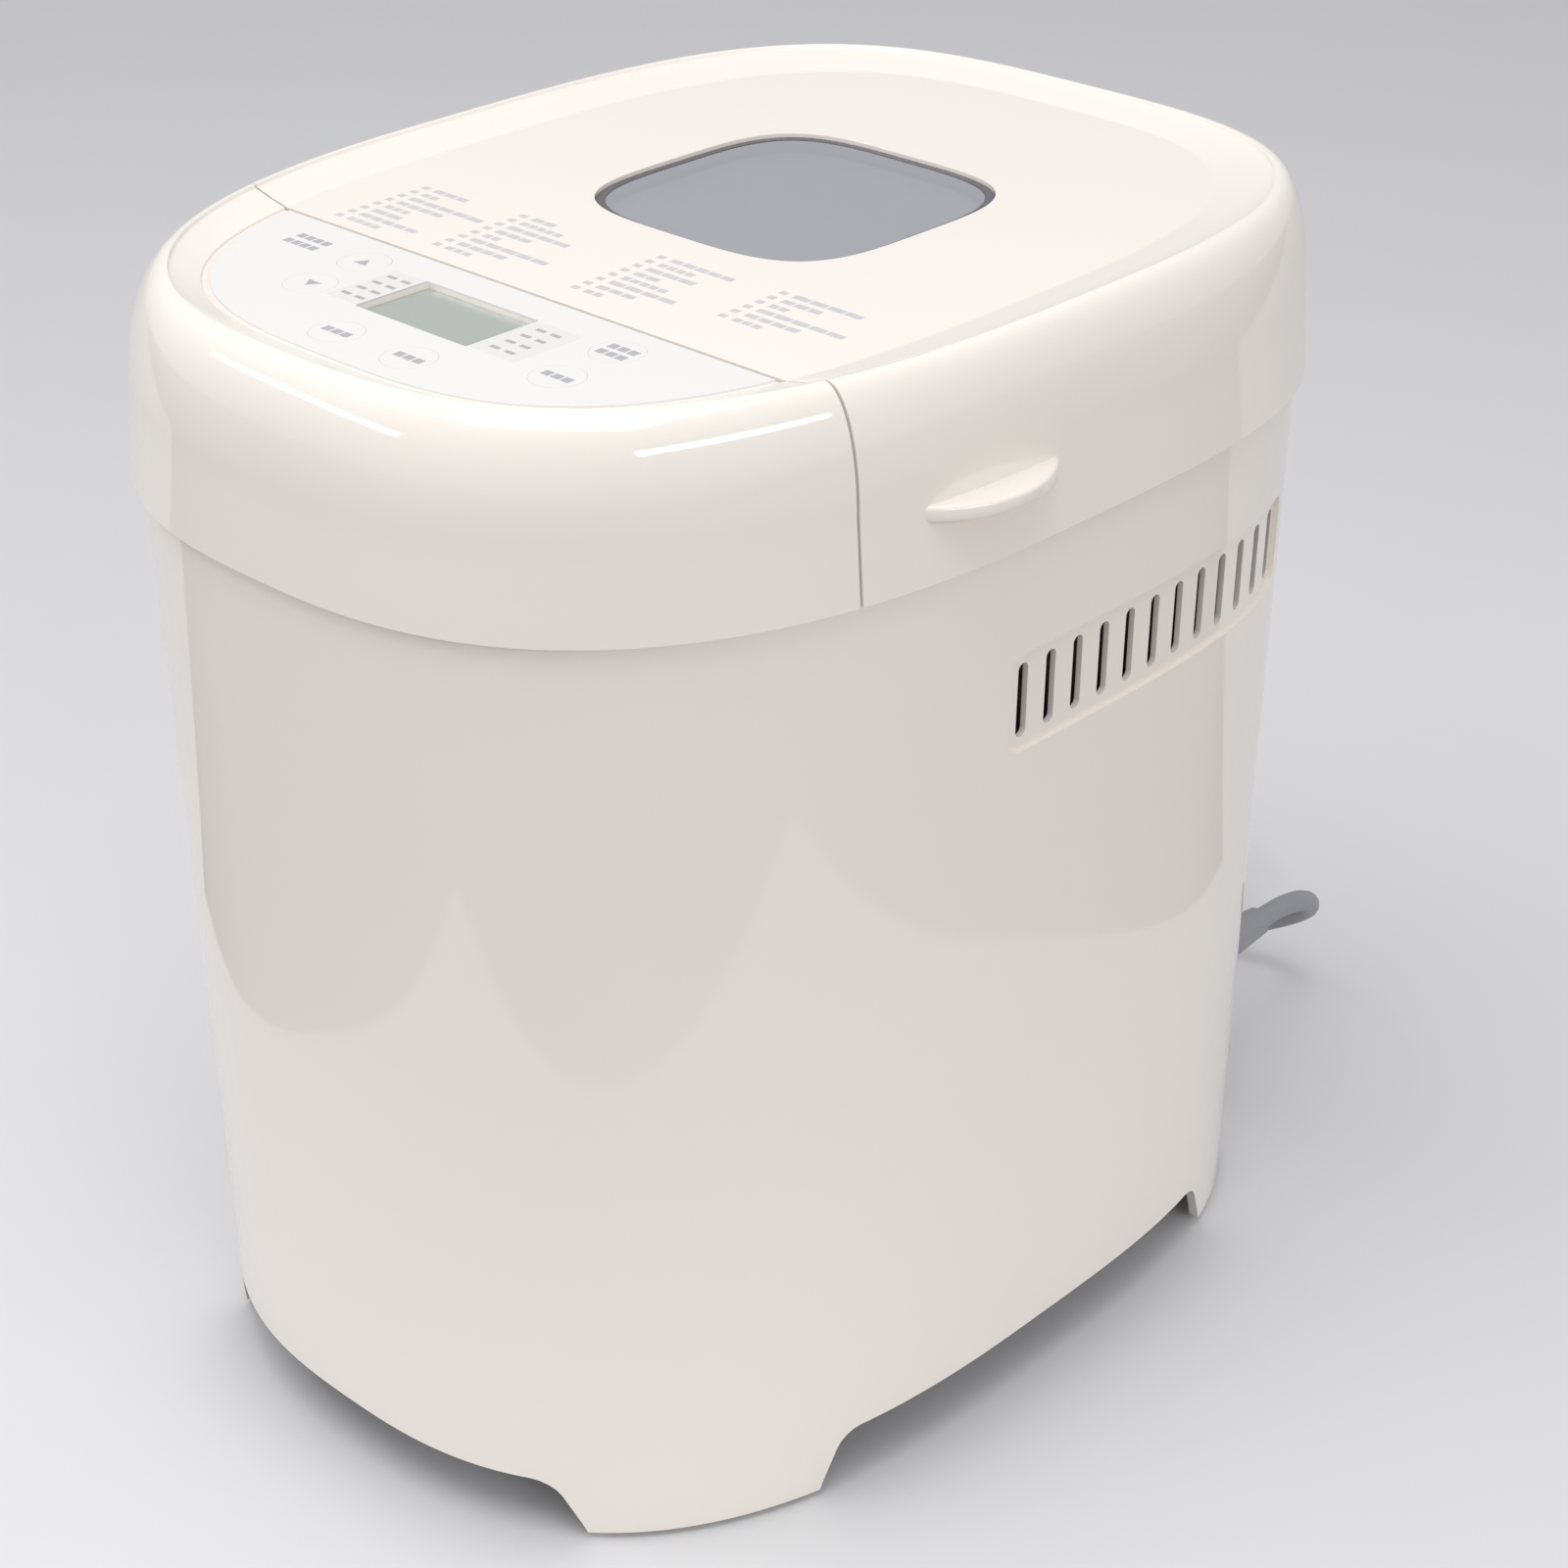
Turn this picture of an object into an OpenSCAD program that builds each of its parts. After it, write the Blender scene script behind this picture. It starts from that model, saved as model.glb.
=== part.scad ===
// Bread machine: a tall oval body with a hinged lid over a square-cornered baking chamber.
// Millimetres. Front faces -Y, +X is the right-hand side, +Z is up, the rubber feet stand on z = 0.

/* [Casing] */
// Overall width, across the lid
casing_w = 228; // [210:1:250]
// From the centre line to the rearmost point of the lid
casing_back = 145; // [135:1:160]
// Height of the rim round the top
casing_h = 303; // [285:1:330]
// Height of the lid, from its lower edge to the rim
lid_h = 50; // [42:1:60]
// Wall thickness of the moulded casing
wall = 2.8; // [2:0.1:4]
// How far the lid stands out over the body
overhang = 2; // [1:0.5:4]
// How far the body draws in at its foot, each side
body_draft = 4; // [0:0.5:8]
// Gap between the lid and its neighbours
lid_gap = 0.8; // [0.5:0.1:1.5]
// Where the lid starts, measured from the centre line to the front
lid_front = 69.5; // [60:0.5:76]

/* [Top] */
// How far the shoulder curves in, from the side to the rim
shoulder_in = 10; // [6:0.5:14]
// Width of the sloping band inside the rim, at the sides
band_w = 14; // [8:0.5:18]
// Depth of the flat middle below the rim
dish = 3.4; // [1:0.2:6]
// Width and depth of the square window
window_w = 85; // [60:1:96]
// Centre of the window and of the baking chamber, behind the centre line
bake_y = 24; // [18:1:28]

/* [Base] */
// Height of the skirt's edge between the feet
arch_z = 18; // [14:1:24]
// How far the rubber feet stand proud of the casing
foot_proud = 2; // [1:0.5:4]
// Diameter of a rubber foot
foot_d = 15; // [10:1:18]

/* [Chamber and pan] */
// Width of the baking chamber
chamber_w = 168; // [156:1:176]
// Depth of the baking chamber, front to back
chamber_l = 172; // [160:1:176]
// Width of the bread pan at its mouth
pan_w = 120; // [100:1:130]
// Length of the bread pan at its mouth
pan_l = 140; // [120:1:146]
// Height of the bread pan's wall
pan_h = 134; // [110:1:138]
// Diameter of the drive shafts
shaft_d = 8; // [6:0.5:10]
// Diameter of the tube of the heating element
heater_d = 7; // [5:0.5:8]

/* [Drive] */
// Diameter of the large pulley
big_pulley_d = 90; // [70:1:100]
// Diameter of the motor pulley
small_pulley_d = 18; // [14:1:24]
// Diameter of the motor
motor_d = 60; // [50:1:62]

/* [Panel] */
// Width of the display's clear area
lcd_w = 38; // [30:1:44]
// Depth of the display's clear area, front to back
lcd_l = 22; // [18:1:24]
// Travel of a key
key_travel = 0.3; // [0.2:0.1:0.6]
// Diameter of a key's pad
key_d = 13; // [10:0.5:14]

/* [Hidden] */

ivory = [0.90, 0.87, 0.83];
steel = [0.72, 0.72, 0.72];
dark = [0.12, 0.12, 0.13];
brass = [0.78, 0.62, 0.32];
board_green = [0.10, 0.35, 0.20];

$fn = 64;
e = 0.01;      // a cut runs this far past a face
fit = 0.3;     // clearance between pieces that slot together
run = 0.05;    // radial clearance of a shaft in its bearing
seg = 72;      // points round the casing's outline

// Hinge at the rear: barrels of this radius, this far outside the lid
hinge_r = 4.2;
hinge_out = 1.5;
hinge_y = casing_back + hinge_out;
seam_z = casing_h - lid_h;
hinge_z = seam_z - 3;
hinge_x = 50;
hinge_w = 12;
hinge_ear = 6;
pin_r = 1.5;
casing_front = casing_back + hinge_out + hinge_r;

half_w = casing_w / 2;
n_front = 2.6;
n_back = 3.3;

// One point of an oval that is fuller than an ellipse; the back is squarer than the front
function oval_point(t, a, f, b) =
  let (n = sin(t) < 0 ? n_front : n_back, d = sin(t) < 0 ? f : b)
  [a * sign(cos(t)) * pow(abs(cos(t)), 2 / n), d * sign(sin(t)) * pow(abs(sin(t)), 2 / n)];
function oval(a, f, b) = [for (i = [0 : seg - 1]) oval_point(360 * i / seg, a, f, b)];
function ring(a, f, b, z) = [for (p = oval(a, f, b)) [p[0], p[1], z]];

// Joins closed rings of points, one above another, into a solid
module loft(rings) {
  n = len(rings[0]);
  m = len(rings);
  polyhedron(
    points = [for (r = rings) for (p = r) p],
    faces = concat(
      [[for (i = [0 : n - 1]) i]],
      [for (k = [0 : m - 2]) for (i = [0 : n - 1])
        [k * n + i, (k + 1) * n + i, (k + 1) * n + (i + 1) % n]],
      [for (k = [0 : m - 2]) for (i = [0 : n - 1])
        [k * n + i, (k + 1) * n + (i + 1) % n, k * n + (i + 1) % n]],
      [[for (i = [n - 1 : -1 : 0]) (m - 1) * n + i]]),
    convexity = 6);
}

// Rounded square or rectangle, centred
module rounded(w, l, r) {
  square([w - 2 * r, l], center = true);
  square([w, l - 2 * r], center = true);
  for (x = [-1, 1], y = [-1, 1]) translate([x * (w / 2 - r), y * (l / 2 - r)]) circle(r);
}

// Squarish outline with bowed sides, as the window's
function squircle(w) =
  [for (i = [0 : seg - 1]) let (t = 360 * i / seg)
    [w / 2 * sign(cos(t)) * pow(abs(cos(t)), 2 / 3.8), w / 2 * sign(sin(t)) * pow(abs(sin(t)), 2 / 3.8)]];

module bake_centre() translate([0, bake_y, 0]) children();

// ---- Casing ----
body_half = half_w - overhang;
body_front = casing_front - overhang;
body_back = casing_back - overhang;
body_top = seam_z - lid_gap;

// The body's outline at a height, moved in by k
function body_ring(k, z) =
  let (d = body_draft * (1 - (z - foot_proud) / (body_top - foot_proud)) + k)
  ring(body_half - d, body_front - d, body_back - d, z);
module body_solid(k, z0, z1) loft([body_ring(k, z0), body_ring(k, z1)]);

// Outline of the upper casing: t runs from 0 at the joint to 1 at the rim
shoulder_steps = [0, 0.25, 0.45, 0.6, 0.72, 0.82, 0.9, 0.96, 1];
side_draft = 1.2;
shoulder_start = 0.42;
rim_front = 1.3;   // the shoulder is wider at the front
rim_back = 0.7;    // and narrower at the back
function shoulder(t) =
  side_draft * min(1, t / shoulder_start)
  + (t < shoulder_start ? 0 :
    (shoulder_in - side_draft) * (1 - sqrt(1 - pow((t - shoulder_start) / (1 - shoulder_start), 2))));
function casing_ring(t, k, drop) =
  let (d = shoulder(t))
  ring(half_w - d - k, casing_front - d * rim_front - k, casing_back - d * rim_back - k,
    seam_z + t * (casing_h - seam_z) - drop);
band_front = band_w - 5.5;
band_back = band_w - 2;
flat_half = half_w - shoulder_in - band_w;
flat_front = casing_front - shoulder_in * rim_front - band_front;
flat_back = casing_back - shoulder_in * rim_back - band_back;
flat_z = casing_h - dish;
// The upper casing as a solid, moved in by k; it has a dished top
module casing_solid(k, drop) loft(concat(
  [for (t = shoulder_steps) casing_ring(t, k, t * drop)],
  [ring(flat_half, flat_front, flat_back, flat_z - drop)]));

module behind(y, h = 400) translate([-200, y, -1]) cube([400, 400, h]);

foot_inner = 40;   // the feet start this far from the middle of the front and back
foot_y_front = body_front - 74.7; // and this far towards the front
foot_y_back = body_back - 63;

vent_l = 122;
vent_h = 26;
vent_y = 40;
vent_z = seam_z - 42;
vent_depth = 1.2;
slot_count = 12;
slot_pitch = 10.1;
slot_w = 3.6;
slot_h = 19.5;

gland_x = 62;
gland_z = 52;
gland_r = 6.8;

// Removes the skirt between two feet; the flanks of the feet lean and blend into the edge
module arch_gap(length) {
  lean = 5;
  rotate([90, 0, 0]) linear_extrude(400, center = true)
    polygon([[-length / 2 - lean, -e], [length / 2 + lean, -e], [length / 2 + lean, foot_proud],
      [length / 2, arch_z - 2], [length / 2 - 2, arch_z], [-length / 2 + 2, arch_z],
      [-length / 2, arch_z - 2], [-length / 2 - lean, foot_proud]]);
}

module vent_slots() for (i = [0 : slot_count - 1])
  translate([0, vent_y + (i - (slot_count - 1) / 2) * slot_pitch, vent_z]) rotate([0, 90, 0])
    linear_extrude(400, center = true) rounded(slot_h, slot_w, slot_w / 2 - e);

// Screw boss with a web out to the side wall
module shell_boss(p, z) {
  boss(p, z, boss_h);
  translate([p[0] > 0 ? p[0] : p[0] - 20, p[1] - 1.5, z]) cube([20, 3, boss_h]);
}

module vent_recess() difference() {
  translate([0, vent_y, vent_z]) rotate([0, 90, 0]) linear_extrude(400, center = true) rounded(vent_h, vent_l, 4);
  body_solid(vent_depth, 100, 260);
}

module boss(p, z, h) translate([p[0], p[1], z]) cylinder(h, r = boss_out);
boss_out = 4;
boss_h = 14;

module body_shell() color(ivory) difference() {
  union() {
    difference() {
      body_solid(0, foot_proud, body_top);
      body_solid(wall, foot_proud - 1, body_top + 1);
    }
    intersection() {
      body_solid(wall / 2, foot_proud, body_top);
      union() {
        for (p = deck_screw_places) shell_boss(p, deck_z - boss_h);
        for (p = shell_screw_places) shell_boss(p, base_z + base_t);
      }
    }
  }
  for (p = deck_screw_places) translate([p[0], p[1], deck_z - boss_h - 1]) cylinder(boss_h + 2, r = screw_r);
  for (p = shell_screw_places) translate([p[0], p[1], base_z + base_t - 1]) cylinder(boss_h + 2, r = screw_r);
  arch_gap(2 * (body_half - foot_inner - 6));
  rotate([0, 0, 90]) translate([(foot_y_back - foot_y_front) / 2 + 3, 0, 0])
    arch_gap(foot_y_front + foot_y_back - 8);
  vent_recess();
  vent_slots();
  translate([gland_x, 100, gland_z]) rotate([-90, 0, 0]) cylinder(60, r = gland_r);
}

// ---- Base ----
base_t = 2.5;
base_z = arch_z + 1;
foot_x = body_half * 19 / 28;
foot_front = -(body_front - 54.7);
foot_back = body_back - 53;
foot_places = [for (s = [-1, 1]) each [[s * foot_x, foot_front], [s * (foot_x + 5), foot_back]]];
foot_block_r = 9.5;
post_front = -(body_front - 28.7);
post_places = [[-62, -52], [62, -52], [-62, 104], [62, 104], [-44, post_front], [44, post_front]];
shell_screw_x = body_half - 16;
shell_screw_places = [for (s = [-1, 1], y = [-20, 50]) [s * shell_screw_x, y]];
post_r = 5;
screw_r = 1.6;
screw_head_r = 3.4;
plate_z = 50;
plate_t = 2;

module base_plate() color(dark) difference() {
  union() {
    loft([body_ring(wall + fit, base_z), body_ring(wall + fit, base_z + base_t)]);
    for (p = foot_places) translate([p[0], p[1], foot_proud + 0.5]) cylinder(base_z - foot_proud, r = foot_block_r);
    for (p = post_places) translate([p[0], p[1], base_z]) cylinder(plate_z - base_z, r = post_r);
  }
  for (p = foot_places) translate([p[0], p[1], 0]) cylinder(12, d = foot_stem_d);
  for (p = post_places) {
    translate([p[0], p[1], base_z - e]) cylinder(100, r = screw_r);
    translate([p[0], p[1], base_z - e]) cylinder(head_h + e, r = screw_head_r);
  }
  for (p = shell_screw_places) translate([p[0], p[1], base_z - e]) cylinder(100, r = screw_r);
  for (x = [-4 : 4]) translate([x * 8, -98, base_z + base_t / 2]) cube([4, 44, 2 * base_t], center = true);
}

foot_stem_d = 7;
module rubber_feet() color(dark) for (p = foot_places) translate([p[0], p[1], 0]) {
  cylinder(foot_proud + 0.5, d1 = foot_d - 1, d2 = foot_d);
  translate([0, 0, foot_proud + 0.5 - e]) cylinder(8, d = foot_stem_d);
}

module screw(length, r, head_r, head_h) {
  cylinder(length, r = r);
  cylinder(head_h, r = head_r);
}

module base_screws() color(steel) {
  for (p = post_places) translate([p[0], p[1], base_z]) screw(base_screw_l, screw_r, screw_head_r, head_h);
  for (p = shell_screw_places) translate([p[0], p[1], base_z - head_h]) screw(base_screw_l, screw_r, screw_head_r, head_h);
}
base_screw_l = 12;
head_h = 1.4;

// ---- Chamber deck ----
deck_t = 3;
deck_z = body_top - 5;
chamber_r = 24;
mouth_gap = 0.5;
board_bay_y = -lid_front - 30;
module deck_outline(w, l) translate([0, bake_y]) rounded(w, l, chamber_r);
deck_screw_x = body_half - 15;
deck_screw_places = [for (s = [-1, 1], y = [-34, 70]) [s * deck_screw_x, y]];
housing_screw_x = body_half - 38;
housing_front = -(body_front - 18.7);
housing_screw_places = [for (s = [-1, 1]) each [[s * housing_screw_x, -84], [s * 30, housing_front]]];

module chamber_deck() color(ivory) difference() {
  loft([body_ring(wall + fit, deck_z), body_ring(wall + fit, deck_z + deck_t)]);
  translate([0, 0, deck_z - 20]) linear_extrude(40) deck_outline(chamber_w + 2 * mouth_gap, chamber_l + 2 * mouth_gap);
  translate([0, board_bay_y, deck_z]) linear_extrude(20, center = true) rounded(104, 34, 6);
  for (p = concat(deck_screw_places, housing_screw_places))
    translate([p[0], p[1], deck_z - 20]) cylinder(40, r = screw_r);
}

module deck_screws() color(steel) {
  for (p = deck_screw_places) translate([p[0], p[1], deck_z + deck_t + head_h]) rotate([180, 0, 0])
    screw(12, screw_r, screw_head_r, head_h);
  for (p = housing_screw_places) translate([p[0], p[1], deck_z - head_h])
    screw(12, screw_r, screw_head_r, head_h);
}

// ---- Control housing and panel ----
seam_front = -lid_front - lid_gap / 2;
film_recess = 0.6;
film_t = 0.5;
film_gap = 2;
lcd_y = -91.5;
key_places = [[-40, -82], [-38, -100], [-9, -116], [15, -115.5], [46, -82], [47, -101]];
stem_r = 2;
key_z = flat_z - film_recess;
board_top = flat_z - 13;
board_t = 1.6;
switch_h = 4.3;

// The hollow inside the upper casing, open below
module casing_hollow() {
  casing_solid(wall, wall);
  loft([casing_ring(0, wall, 1), casing_ring(0, wall, -1)]);
}

module control_housing() color(ivory) difference() {
  union() {
    difference() {
      intersection() {
        casing_solid(0, 0);
        translate([0, -200 + seam_front, 0]) cube([400, 400, 1000], center = true);
      }
      difference() {
        casing_hollow();
        behind(seam_front - wall);
      }
    }
    for (p = housing_screw_places) boss(p, deck_z + deck_t, flat_z - film_recess - 1 - deck_z - deck_t);
    for (p = board_screw_places) boss(p, board_top, flat_z - film_recess - 1 - board_top);
  }
  for (p = housing_screw_places) translate([p[0], p[1], deck_z]) cylinder(16, r = screw_r);
  for (p = board_screw_places) translate([p[0], p[1], board_top - 1]) cylinder(8, r = screw_r);
  panel_recess(film_recess, 0);
  translate([0, lcd_y, flat_z]) cube([lcd_w, lcd_l, 20], center = true);
  for (p = key_places) {
    translate([p[0], p[1], flat_z - 10]) cylinder(20, r = stem_r + fit);
    translate([p[0], p[1], key_z - key_travel - 0.1]) cylinder(20, d = key_d + 2 * fit);
  }
}

// The flat of the panel, moved in by k
module panel_recess(depth, k) intersection() {
  translate([0, 0, flat_z - depth]) linear_extrude(20) polygon(oval(flat_half - k, flat_front - k, flat_back));
  translate([0, -200 + seam_front - (k > 0 ? fit : -1), 0]) cube([400, 400, 1000], center = true);
}

module control_overlay() color([0.96, 0.95, 0.93]) difference() {
  intersection() {
    panel_recess(film_recess, film_gap);
    translate([0, 0, flat_z - film_recess]) linear_extrude(film_t) square(400, center = true);
  }
  translate([0, lcd_y, flat_z]) cube([lcd_w, lcd_l, 20], center = true);
  for (p = key_places) translate([p[0], p[1], flat_z - 10]) cylinder(20, d = key_d + 2 * fit);
}

lens_gap = 0.1;
lens_drop = 1.8;
module_top = flat_z - wall - 1;
module lcd_lens() color([0.72, 0.73, 0.71]) translate([0, lcd_y, module_top])
  linear_extrude(flat_z - lens_drop - module_top) square([lcd_w - 2 * lens_gap, lcd_l - 2 * lens_gap], center = true);

module lcd_module() color(dark) translate([-lcd_w / 2 - 4, lcd_y - lcd_l / 2 - 3, board_top])
  cube([lcd_w + 8, lcd_l + 6, module_top - board_top]);

module control_board() color(board_green) difference() {
  translate([-66, -121, board_top - board_t]) cube([132, 45, board_t]);
  for (p = board_screw_places) translate([p[0], p[1], board_top - 5]) cylinder(10, r = screw_r);
}
board_screw_places = [[-60, -82], [60, -82], [-60, -108], [60, -108]];

module board_screws() color(steel) for (p = board_screw_places)
  translate([p[0], p[1], board_top - board_t - head_h]) screw(8, screw_r, screw_head_r, head_h);

module tact_switches() color(dark) for (p = key_places) translate([p[0], p[1], board_top]) {
  translate([-3, -3, 0]) cube([6, 6, switch_h - 1]);
  cylinder(switch_h, r = 1.6);
}

module key(i) {
  p = key_places[i];
  bottom = board_top + switch_h + key_travel + 0.1;
  translate([p[0], p[1], key_z]) cylinder(film_t, d = key_d);
  translate([p[0], p[1], bottom]) cylinder(key_z + film_t / 2 - bottom, r = stem_r);
}
key_film = [0.95, 0.94, 0.92];
module key_up() color(key_film) key(0);
module key_down() color(key_film) key(1);
module key_crust() color(key_film) key(2);
module key_size() color(key_film) key(3);
module key_start() color(key_film) key(4);
module key_cancel() color(key_film) key(5);

// ---- Baking chamber ----
chamber_z = 62;
chamber_top = deck_z + deck_t + 1;
sheet = 1;
socket_r = 42;
leg_y = 15;
heater_z = 96;
heater_r = heater_d / 2;
heater_half_w = (pan_w / 2 + chamber_w / 2) / 2;
heater_half_l = (pan_l / 2 + chamber_l / 2) / 2;
heater_corner = 34;
sensor_z = 150;
sensor_r = 3;
sensor_in = (chamber_w - pan_w) / 4;
bearing_r = 12;

module baking_chamber() color(steel) bake_centre() difference() {
  union() {
    translate([0, 0, chamber_z]) linear_extrude(chamber_top - chamber_z) rounded(chamber_w, chamber_l, chamber_r);
    translate([0, 0, chamber_top - 1]) linear_extrude(1) rounded(chamber_w + 10, chamber_l + 10, chamber_r + 5);
  }
  translate([0, 0, chamber_z + sheet]) linear_extrude(400)
    rounded(chamber_w - 2 * sheet, chamber_l - 2 * sheet, chamber_r - sheet);
  translate([0, 0, chamber_z - 1]) cylinder(4, r = bearing_r + fit);
  for (y = [-1, 1]) translate([-chamber_w / 2 - 2, y * leg_y, heater_z]) rotate([0, 90, 0]) cylinder(6, r = heater_r + fit);
  translate([chamber_w / 2 - 4, 0, sensor_z]) rotate([0, 90, 0]) cylinder(8, r = sensor_r + fit);
}

module pan_socket() color(steel) bake_centre() translate([0, 0, chamber_z + sheet]) difference() {
  union() {
    cylinder(2, r = socket_r + 8);
    cylinder(9, r = socket_r);
  }
  translate([0, 0, -e]) cylinder(20, r = socket_r - 2);
}

module heating_element() color(dark) bake_centre() translate([0, 0, heater_z]) {
  sx = heater_half_w - heater_corner;
  sy = heater_half_l - heater_corner;
  for (a = [0, 1, 2, 3])
    translate([(a == 0 || a == 3 ? 1 : -1) * sx, (a < 2 ? 1 : -1) * sy, 0]) rotate([0, 0, a * 90])
      rotate_extrude(angle = 90) translate([heater_corner, 0]) circle(heater_r, $fn = 24);
  for (y = [-1, 1]) translate([-sx, y * heater_half_l, 0]) rotate([0, 90, 0]) cylinder(2 * sx, r = heater_r);
  translate([heater_half_w, -sy, 0]) rotate([-90, 0, 0]) cylinder(2 * sy, r = heater_r);
  for (y = [-1, 1]) {
    translate([-heater_half_w, y * leg_y, 0]) rotate([y * -90, 0, 0]) cylinder(sy - leg_y, r = heater_r);
    translate([-heater_half_w, y * leg_y, 0]) sphere(heater_r);
    translate([-heater_half_w, y * leg_y, 0]) rotate([0, -90, 0]) cylinder(chamber_w / 2 + 8 - heater_half_w, r = heater_r);
  }
}

module heater_clips() color(steel) bake_centre() for (y = [-1, 1])
  translate([-20, y * heater_half_l - 1.5, chamber_z + sheet]) difference() {
    cube([40, 3, heater_z - chamber_z - sheet]);
    translate([20, 1.5, heater_z - chamber_z - sheet]) rotate([0, 90, 0]) cylinder(60, r = heater_r, center = true);
    translate([6, -1, 8]) cube([28, 5, heater_z - chamber_z - sheet - 16]);
  }

module temperature_sensor() color(steel) bake_centre() translate([0, 0, sensor_z]) {
  translate([chamber_w / 2 - sensor_in, 0, 0]) rotate([0, 90, 0]) cylinder(sensor_in + 8, r = sensor_r);
  translate([chamber_w / 2, 0, 0]) rotate([0, 90, 0]) cylinder(3, r = 6);
}

module thermal_fuse() color("white") bake_centre() {
  translate([chamber_w / 2 + 4, 0, 110]) rotate([90, 0, 0]) cylinder(20, r = 3, center = true);
  translate([chamber_w / 2, -4, 107]) cube([4, 8, 6]);
}

// ---- Drive ----
motor_y = -bake_y - 74;
motor_r = motor_d / 2;
motor_h = 60;
motor_z = plate_z + plate_t;
shaft_r = shaft_d / 2;
pulley_z = 27;
pulley_h = 11;
flange_t = 1;
belt_z = pulley_z + flange_t + fit;
belt_w = pulley_h - 2 * flange_t - 2 * fit;
belt_t = 2.5;
belt_gap = 0.3;
coupler_z = chamber_z + 10;

module drive_plate() color(steel) difference() {
  union() {
    translate([0, 0, plate_z]) linear_extrude(plate_t)
      polygon([[-72, motor_y + 8], [-50, motor_y - 27], [50, motor_y - 27], [72, motor_y + 8],
        [72, bake_y + 87], [-72, bake_y + 87]]);
    for (p = standoffs) translate([p[0], p[1], plate_z]) cylinder(chamber_z - plate_z, r = 5);
  }
  for (p = post_places) translate([p[0], p[1], plate_z - 1]) cylinder(4, r = screw_r + 0.2);
  bake_centre() translate([0, 0, plate_z - 1]) cylinder(4, r = bearing_r + fit);
  translate([0, motor_y, plate_z - 1]) cylinder(4, r = 10);
}
standoffs = [[-50, -36], [50, -36], [-50, 84], [50, 84]];

module bearing_housing() color(steel) bake_centre() difference() {
  union() {
    translate([0, 0, plate_z + plate_t]) cylinder(3, r = 24);
    translate([0, 0, plate_z - 8]) cylinder(chamber_z + sheet + 5 - plate_z + 8, r = bearing_r);
  }
  translate([0, 0, 0]) cylinder(200, r = bush_r);
}
bush_r = shaft_r + 2.5;

module bearing_bush() color(brass) bake_centre() translate([0, 0, plate_z - 8]) difference() {
  cylinder(chamber_z + sheet + 5 - plate_z + 8, r = bush_r);
  translate([0, 0, -1]) cylinder(100, r = shaft_r + run);
}

module motor() color([0.45, 0.45, 0.47]) translate([0, motor_y, motor_z]) difference() {
  union() {
    cylinder(motor_h, r = motor_r);
    for (x = [-1, 1]) translate([x * (motor_r + 4) - 6, -8, 0]) cube([12, 16, 3]);
  }
  translate([0, 0, -1]) cylinder(motor_h + 2, r = shaft_r + run);
  for (a = [0 : 45 : 315]) rotate([0, 0, a]) translate([motor_r - 8, 0, motor_h - 6]) cylinder(10, r = 3);
}

// A flanged belt pulley on its shaft
module pulley(r, h) {
  cylinder(flange_t, r = r + 3);
  cylinder(h, r = r);
  translate([0, 0, h - flange_t]) cylinder(flange_t, r = r + 3);
}

module motor_rotor() color(steel) translate([0, motor_y, 0]) {
  translate([0, 0, pulley_z]) pulley(small_pulley_d / 2, pulley_h);
  translate([0, 0, pulley_z - 3]) cylinder(motor_z + motor_h + 12 - pulley_z + 3, r = shaft_r);
}

module motor_fan() color(dark) translate([0, motor_y, motor_z + motor_h + 3]) difference() {
  union() {
    cylinder(2, r = motor_r - 6);
    cylinder(8, r = 8);
    for (a = [0 : 45 : 315]) rotate([0, 0, a]) translate([7, -0.8, 0]) cube([motor_r - 13, 1.6, 8]);
  }
  translate([0, 0, -1]) cylinder(20, r = shaft_r);
}

module run_capacitor() color([0.85, 0.85, 0.82]) translate([56, motor_y, motor_z + 18]) cube([18, 28, 36], center = true);

pulley_span = bake_y - motor_y;
// Outline of a loop round two circles, one at each end of the span
module belt_outline(grow) {
  r1 = small_pulley_d / 2 + grow;
  r2 = big_pulley_d / 2 + grow;
  lean = asin((r2 - r1) / pulley_span);
  translate([0, motor_y]) circle(r1);
  translate([0, bake_y]) circle(r2);
  polygon([[-r1 * cos(lean), motor_y - r1 * sin(lean)], [r1 * cos(lean), motor_y - r1 * sin(lean)],
    [r2 * cos(lean), bake_y - r2 * sin(lean)], [-r2 * cos(lean), bake_y - r2 * sin(lean)]]);
}

module drive_belt() color(dark) translate([0, 0, belt_z]) linear_extrude(belt_w) difference() {
  belt_outline(belt_gap + belt_t);
  belt_outline(belt_gap);
}

module drive_pulley() color([0.8, 0.8, 0.8]) bake_centre() {
  difference() {
    translate([0, 0, pulley_z]) pulley(big_pulley_d / 2, pulley_h);
    for (a = [0 : 60 : 300]) rotate([0, 0, a]) translate([27, 0, 0]) cylinder(100, r = 8);
  }
  translate([0, 0, pulley_z - 3]) cylinder(coupler_z + 2 - pulley_z + 3, r = shaft_r);
}

dog_h = 6;
dog_r = 15;
module drive_coupler() color(steel) bake_centre() translate([0, 0, coupler_z]) difference() {
  union() {
    cylinder(4, r = dog_r);
    for (y = [-1, 1]) translate([-5, y * 9.5 - 3, 0]) cube([10, 6, 4 + dog_h]);
  }
  translate([0, 0, -1]) cylinder(3, r = shaft_r);
}

module heat_shield() color(steel) translate([-72, -lid_front + 2, plate_z + plate_t]) {
  cube([144, 1, deck_z - plate_z - plate_t]);
  translate([0, -10, 0]) cube([40, 10 + e, 1]);
  translate([104, -10, 0]) cube([40, 10 + e, 1]);
}

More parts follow.
